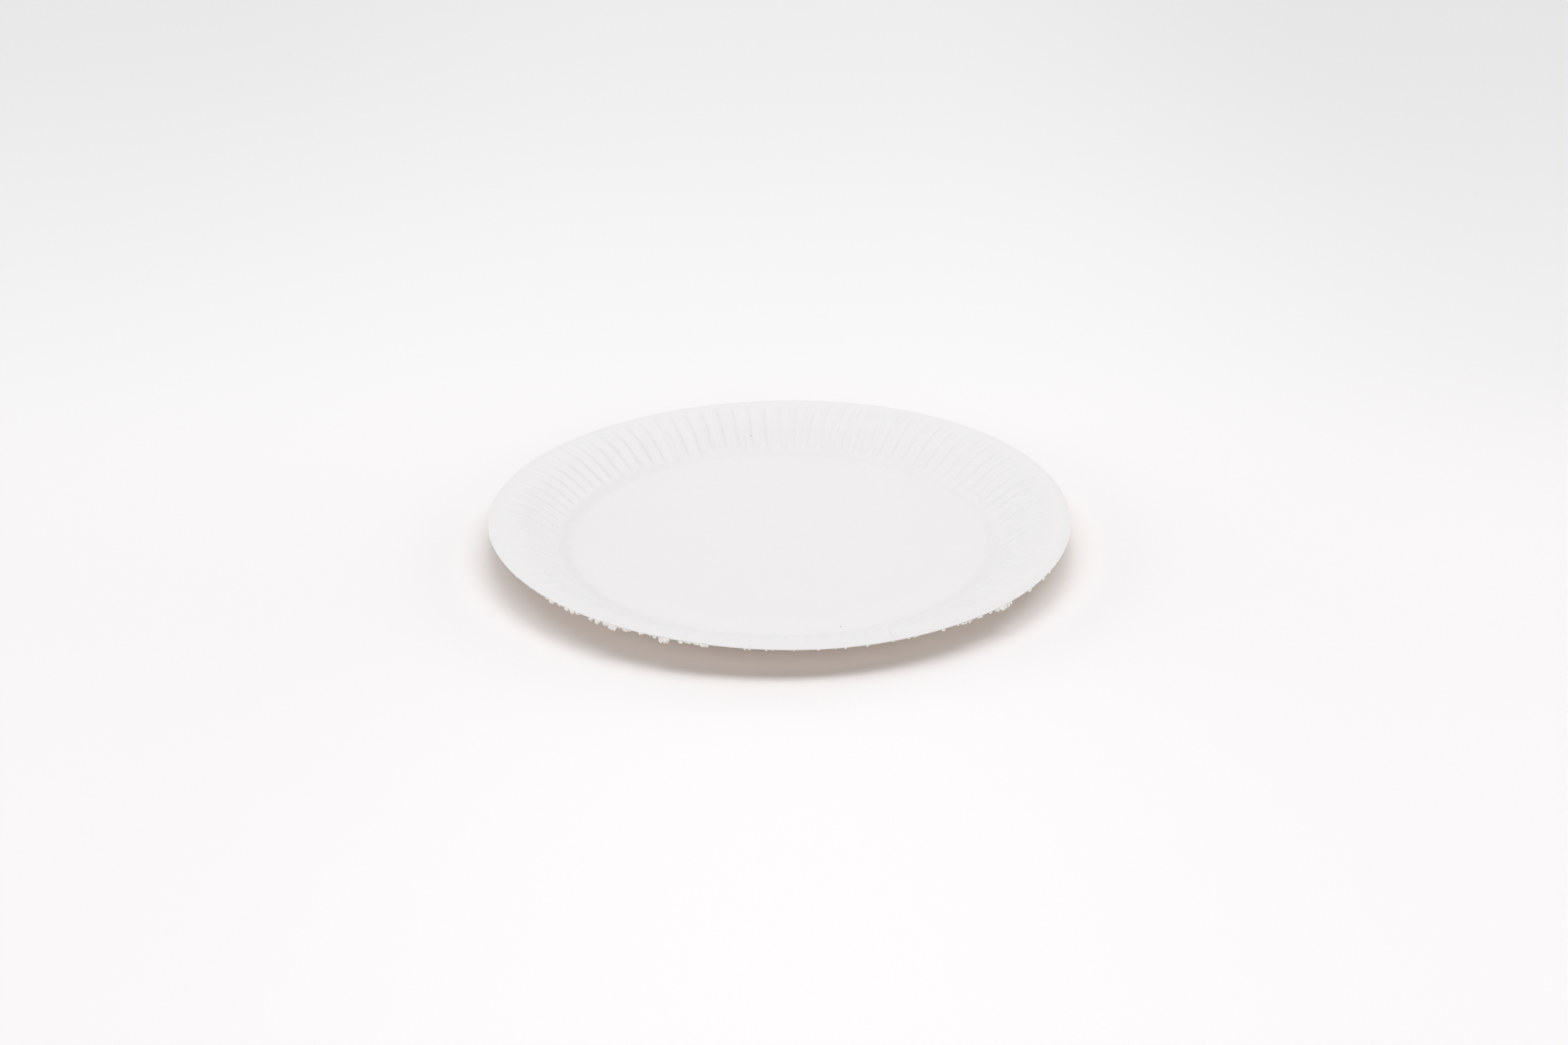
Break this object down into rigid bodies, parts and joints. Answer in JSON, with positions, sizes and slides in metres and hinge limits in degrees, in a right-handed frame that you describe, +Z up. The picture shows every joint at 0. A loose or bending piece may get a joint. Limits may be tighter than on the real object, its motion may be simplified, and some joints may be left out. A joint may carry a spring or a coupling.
{
  "type": "paper plate",
  "caption": "Shallow round paper plate with a flat bottom, a flared fluted wall and a smooth level rim, pressed from white board.",
  "frame": {"origin": "middle of the flat underside, where the plate rests", "axes": "+Z up through the middle of the plate, +Y away from the viewer, +X to the viewer's right"},
  "size_m": [0.18, 0.18, 0.0109],
  "materials": {
    "coated_board": "white paperboard with a matt, faintly smooth coating and a raw die-cut edge"
  },
  "bodies": {
    "root": {"plate": "coated_board"}
  },
  "joints": []
}
